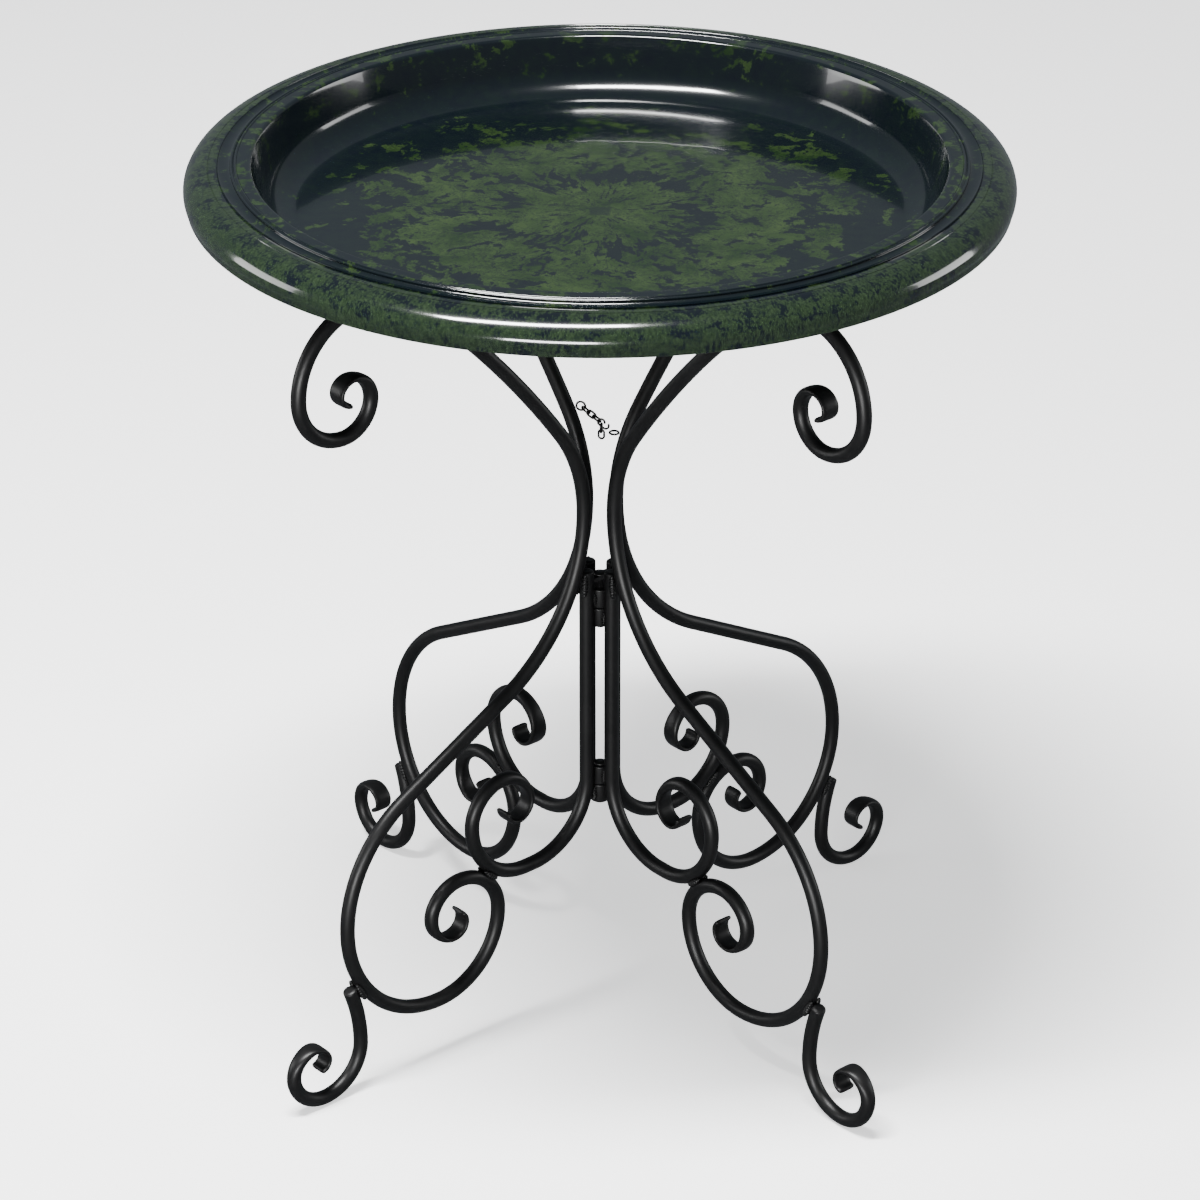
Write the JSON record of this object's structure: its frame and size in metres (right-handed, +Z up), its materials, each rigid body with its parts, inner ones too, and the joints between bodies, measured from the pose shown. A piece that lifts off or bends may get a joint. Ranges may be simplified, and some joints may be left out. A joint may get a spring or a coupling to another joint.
{
  "type": "bird bath fountain",
  "caption": "Round glossy marbled bowl with a rolled edge, resting on a folding stand of black wrought-steel scroll legs that turn on a centre hinge.",
  "frame": {"origin": "on the ground, on the hinge axis, centre of the stand", "axes": "+Z up along the hinge axis; +X towards the back right leg of frame A, +Y towards the back left leg of frame B"},
  "size_m": [0.522, 0.522, 0.5878],
  "materials": {
    "bowl": "high gloss, moss green marbled in near-black slate blue",
    "bars": "black satin powder coat on forged bar",
    "hinge": "black satin powder coat, worn on the knuckles",
    "chain": "black coated wire"
  },
  "bodies": {
    "frame_a": {"main_scroll_front_left": "bars", "inner_scroll_front_left": "bars", "foot_scroll_front_left": "bars", "main_scroll_back_right": "bars", "inner_scroll_back_right": "bars", "foot_scroll_back_right": "bars", "knuckle_a_upper": "hinge", "knuckle_a_lower": "hinge", "hinge_pin_upper": "hinge", "hinge_pin_lower": "hinge", "bridge_plate": "hinge", "chain_eye_back_right": "chain"},
    "frame_b": {"main_scroll_front_right": "bars", "inner_scroll_front_right": "bars", "foot_scroll_front_right": "bars", "main_scroll_back_left": "bars", "inner_scroll_back_left": "bars", "foot_scroll_back_left": "bars", "knuckle_b_upper": "hinge", "knuckle_b_lower": "hinge", "chain_eye_back_left": "chain"},
    "bowl": {"bowl": "bowl"},
    "chain": {"chain_links": "chain", "chain_hook": "chain", "chain_tail": "chain"}
  },
  "joints": [
    {"name": "frame_hinge", "type": "hinge", "parent": "frame_a", "child": "frame_b", "pos_m": [0, 0, 0.215], "axis": [0, 0, 1], "range_deg": [-37, 0]},
    {"name": "bowl_lift", "type": "slide", "parent": "frame_a", "child": "bowl", "axis": [0, 0, 1], "range_m": [0, 0.15]},
    {"name": "chain_swing", "type": "hinge", "parent": "frame_b", "child": "chain", "pos_m": [0.00686, 0.02288, 0.40704], "axis": [0.3454, -0.4892, 0.8008], "range_deg": [0, 60]}
  ],
  "couplings": [
    {"joint": "chain_swing", "follows": "frame_hinge", "ratio": -1.6081}
  ]
}
